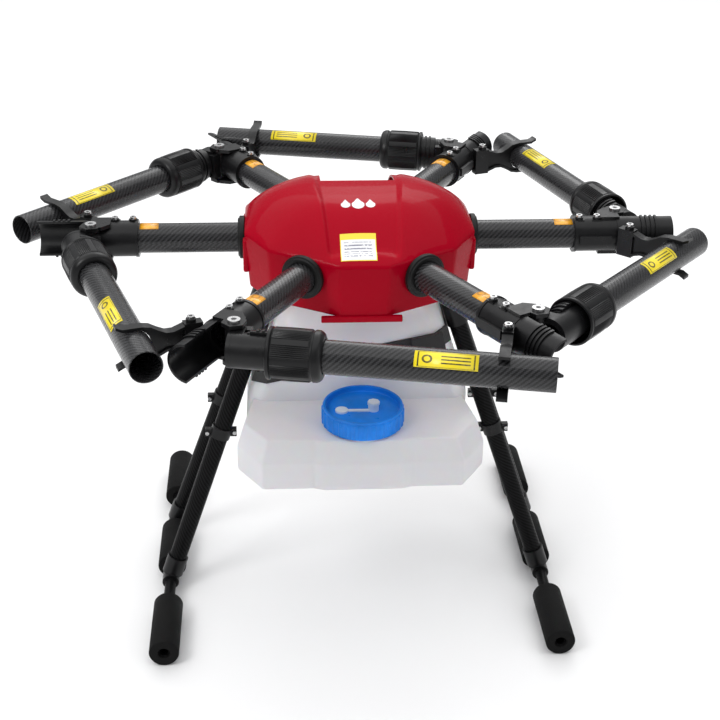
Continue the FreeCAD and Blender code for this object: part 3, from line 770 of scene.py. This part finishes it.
def make_gear():
    for name in ("front_left", "front_right", "back_left", "back_right"):
        flip = Vector((-1 if "left" in name else 1, -1 if "front" in name else 1, 1))
        start, foot = LEG_TOP * flip, LEG_FOOT * flip
        end = start.lerp(foot, LEG_SHARE)
        leg = tube("gear_leg_" + name, 0, (end - start).length, LEG_RADIUS, LEG_BORE,
                   along_frame(start, end), "frame", MAT["leg"], 40)
        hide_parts("leg_" + name)
    for name, side in (("left", -1), ("right", 1)):
        axis = along_frame((side * SKID_X, 0, SKID_Z), (side * SKID_X, 1, SKID_Z))
        rod = tube("gear_skid_" + name, -SKID_HALF, SKID_HALF, SKID_RADIUS, SKID_BORE, axis,
                   "frame", MAT["leg"], 32)
        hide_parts("skid_tube_" + name)
        for count, (low, high) in enumerate(FOAM_SPANS):
            # a sleeve with rounded ends
            profile = [(low, 9), (low, 18.1), (low + 0.7, 19.6), (low + 2.4, 20.5),
                       (high - 2.4, 20.5), (high - 0.7, 19.6), (high, 18.1), (high, 9),
                       (high - 1, 8.1), (low + 1, 8.1)]
            grip = lathe("foam_%s_%d" % (name, count), [(x * MM, r * MM) for x, r in profile],
                         axis, "frame", MAT["foam"], 48)
            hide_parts("skid_sleeves")


# ------------------------------------------------------------------ tank

CAP_LOW, CAP_CENTRE = AXIS - 217.6, (2.0, -128.0)
CAP_RIBS, CAP_RIB_HEIGHT, CAP_RIB_ROWS, CAP_RIB_ENDS = 30, 1.5 * MM, (2, 3, 4, 5), (2, 5)


def at_cap(height):
    return Vector((*CAP_CENTRE, AXIS + height)) * MM


def drain(height):
    return Vector((0, 40, AXIS + height)) * MM


def cap_ribs(row, angle):
    # grip ribs up the cap's side, lower at their two ends
    if row not in CAP_RIB_ROWS:
        return 0.0
    wave = 0.5 + 0.5 * math.cos(CAP_RIBS * angle)
    return CAP_RIB_HEIGHT * clamped(wave * 2.4 - 0.9) * (0.6 if row in CAP_RIB_ENDS else 1.0)


def make_cap():
    profile = [(0, 52.9), (0.7, 54.1), (1.6, 54.5), (3, 54.5), (21, 54.5), (22.2, 54.4),
               (23.2, 53.8), (24.4, 54.1), (26.2, 54), (27, 53.2), (27, 51.1), (26.2, 50.3),
               (20, 49.9), (19.1, 49), (19, 44), (19.5, 40), (19.5, 12), (19, 11), (19, 0.05),
               (13.8, 0.05), (13.8, 46), (1, 46.5)]
    axis = along_frame(Vector((*CAP_CENTRE, CAP_LOW)) * MM, Vector((*CAP_CENTRE, 500)) * MM)
    cap = lathe("screw_cap", [(x * MM, r * MM) for x, r in profile], axis, "cap", MAT["blue"],
                360, cap_ribs)
    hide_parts("tank_cap")


def make_tank():
    # the wide lower body, with the ledge that carries the cap
    plan = [(53, -190), (66, -185), (135, -185), (168, -133), (156, -65), (156, 80), (125, 110)]
    low = helper("tank_low", lofted("tank_low", [outline(plan, -290, 3), outline(plan, -285),
                                                 outline(plan, -249), outline(plan, -219, 9)]))
    soften(low, 8 * MM, 4, 8)

    # the upper body, which narrows towards the cover
    def wide(half):
        return [(half - 18, -65), (half, -48), (half, 42), (half - 18, 60)]

    high = helper("tank_high", lofted("tank_high", [outline(wide(152), -258),
                                                    outline(wide(154), -219),
                                                    outline(wide(106), -76),
                                                    outline(wide(98), -64)]))
    soften(high, 8 * MM, 4, 14)
    neck = bar("neck", at_cap(-230), at_cap(-206.2), 46 * MM, 96)
    boss = bar("boss", at_cap(-230), at_cap(-218), 51 * MM, 96)
    outlet = bar("outlet", drain(-308), drain(-275), 13 * MM)
    hole = bar("hole", drain(-320), drain(-282), 9 * MM)
    for tool in (high, neck, boss, outlet):
        boolean(low, tool, "UNION")
    boolean(low, hole)
    apply_all(low)
    remove(high, neck, boss, outlet, hole)
    low.name = "liquid_tank"
    paint(low.data, MAT["tank"], 32)
    attach(low, "frame", "tank_shell")


# ------------------------------------------------------------------ assembly

cover = make_cover()
side_tabs()
bay_tub()
decal("front_label", cover, LABEL["white"], (-0.007, -0.131), 0.046, 0.040)
decal("drop_mark", cover, MAT["mark"], (-0.004, -0.062), 0.054, 0.030, three_drops)
for arm_name in arm_names():
    make_arm(arm_name)
make_gear()
make_tank()
make_cap()
# CAD nodes kept as they are: material, edge rounding in millimetres, segments
for node, material, rounding, segments in (
        ("lower_tray", "red", 1.5, 3), ("upper_plate", "plate", 0.3, 2),
        ("lower_plate", "plate", 0.3, 2), ("plate_posts", "steel", 0.4, 2),
        ("power_board", "board", 0.2, 2), ("hinge_pins", "steel", 0.4, 2),
        ("steel_screws", "steel", 0.3, 2), ("arm_root_grommets", "rubber", 1.2, 3),
        ("leg_root_brackets", "nylon", 0.8, 2), ("leg_band_clamps", "nylon", 0.8, 2),
        ("skid_tees", "nylon", 0.8, 2), ("tank_gasket", "rubber", 0.0, 2),
        ("vent_valve", "white", 0.5, 2), ("tank_strap", "webbing", 0.5, 2)):
    dress(node, MAT[material], rounding * MM, segments)

# ------------------------------------------------------------------ stage, light, camera


def floor_material():
    shader = Shader("studio_floor")
    color = shader.mix(shader.noise(0.7), grey(0.86), grey(0.88))
    return shader.set(Base_Color=color, Roughness=shader.spread(shader.noise(3.0), 0, 1, 0.6, 0.7))


def make_stage():
    mesh = bpy.data.meshes.new("floor")
    size = 14.0
    mesh.from_pydata([(-size, -size, 0), (size, -size, 0), (size, size, 0), (-size, size, 0)], [],
                     [(0, 1, 2, 3)])
    mesh.materials.append(floor_material())
    helper("floor", mesh)
    world = bpy.data.worlds.new("studio")
    bpy.context.scene.world = world
    world.use_nodes = True
    world.node_tree.nodes["Background"].inputs[0].default_value = (0.97, 0.98, 1.0, 1)
    world.node_tree.nodes["Background"].inputs[1].default_value = 0.42


def overhead(tilt, turn, strength, spread):
    # wide even light from above, so the floor stays pale to its far edge
    light = bpy.data.lights.new("overhead", "SUN")
    light.energy = strength
    light.angle = math.radians(spread)
    obj = link(bpy.data.objects.new("overhead", light))
    obj.rotation_euler = (math.radians(tilt), 0, math.radians(turn))


def area(name, place, target, size, power):
    light = bpy.data.lights.new(name, "AREA")
    light.energy = power
    light.size = size
    obj = link(bpy.data.objects.new(name, light))
    obj.location = place
    obj.rotation_euler = (Vector(target) - Vector(place)).to_track_quat("-Z", "Y").to_euler()


def make_camera():
    # fitted to the ring of arms in the photo
    right = Vector((0.99808, -0.06056, 0.01286)).normalized()
    forward = Vector((0.05970, 0.88648, -0.45890)).normalized()
    up = right.cross(forward).normalized()
    camera = bpy.data.cameras.new("camera")
    camera.sensor_width = 36.0
    camera.lens = 70.97
    camera.clip_end = 50
    obj = link(bpy.data.objects.new("camera", camera))
    matrix = Matrix((right, up, -forward)).transposed().to_4x4()
    matrix.translation = (-0.11487, -1.79131, 0.73669 + AXIS * MM)
    obj.matrix_world = matrix
    bpy.context.scene.camera = obj


make_stage()
overhead(-14, 20, 2.35, 100)
area("key", (-1.5, -1.2, 2.0), (0, 0, 0.45), 0.8, 18)
area("fill", (2.2, -1.4, 1.6), (0, 0, 0.4), 1.4, 7)
area("rim", (0.6, 2.4, 2.2), (0, 0, 0.45), 1.4, 14)
make_camera()
bpy.context.scene.view_settings.view_transform = "Standard"
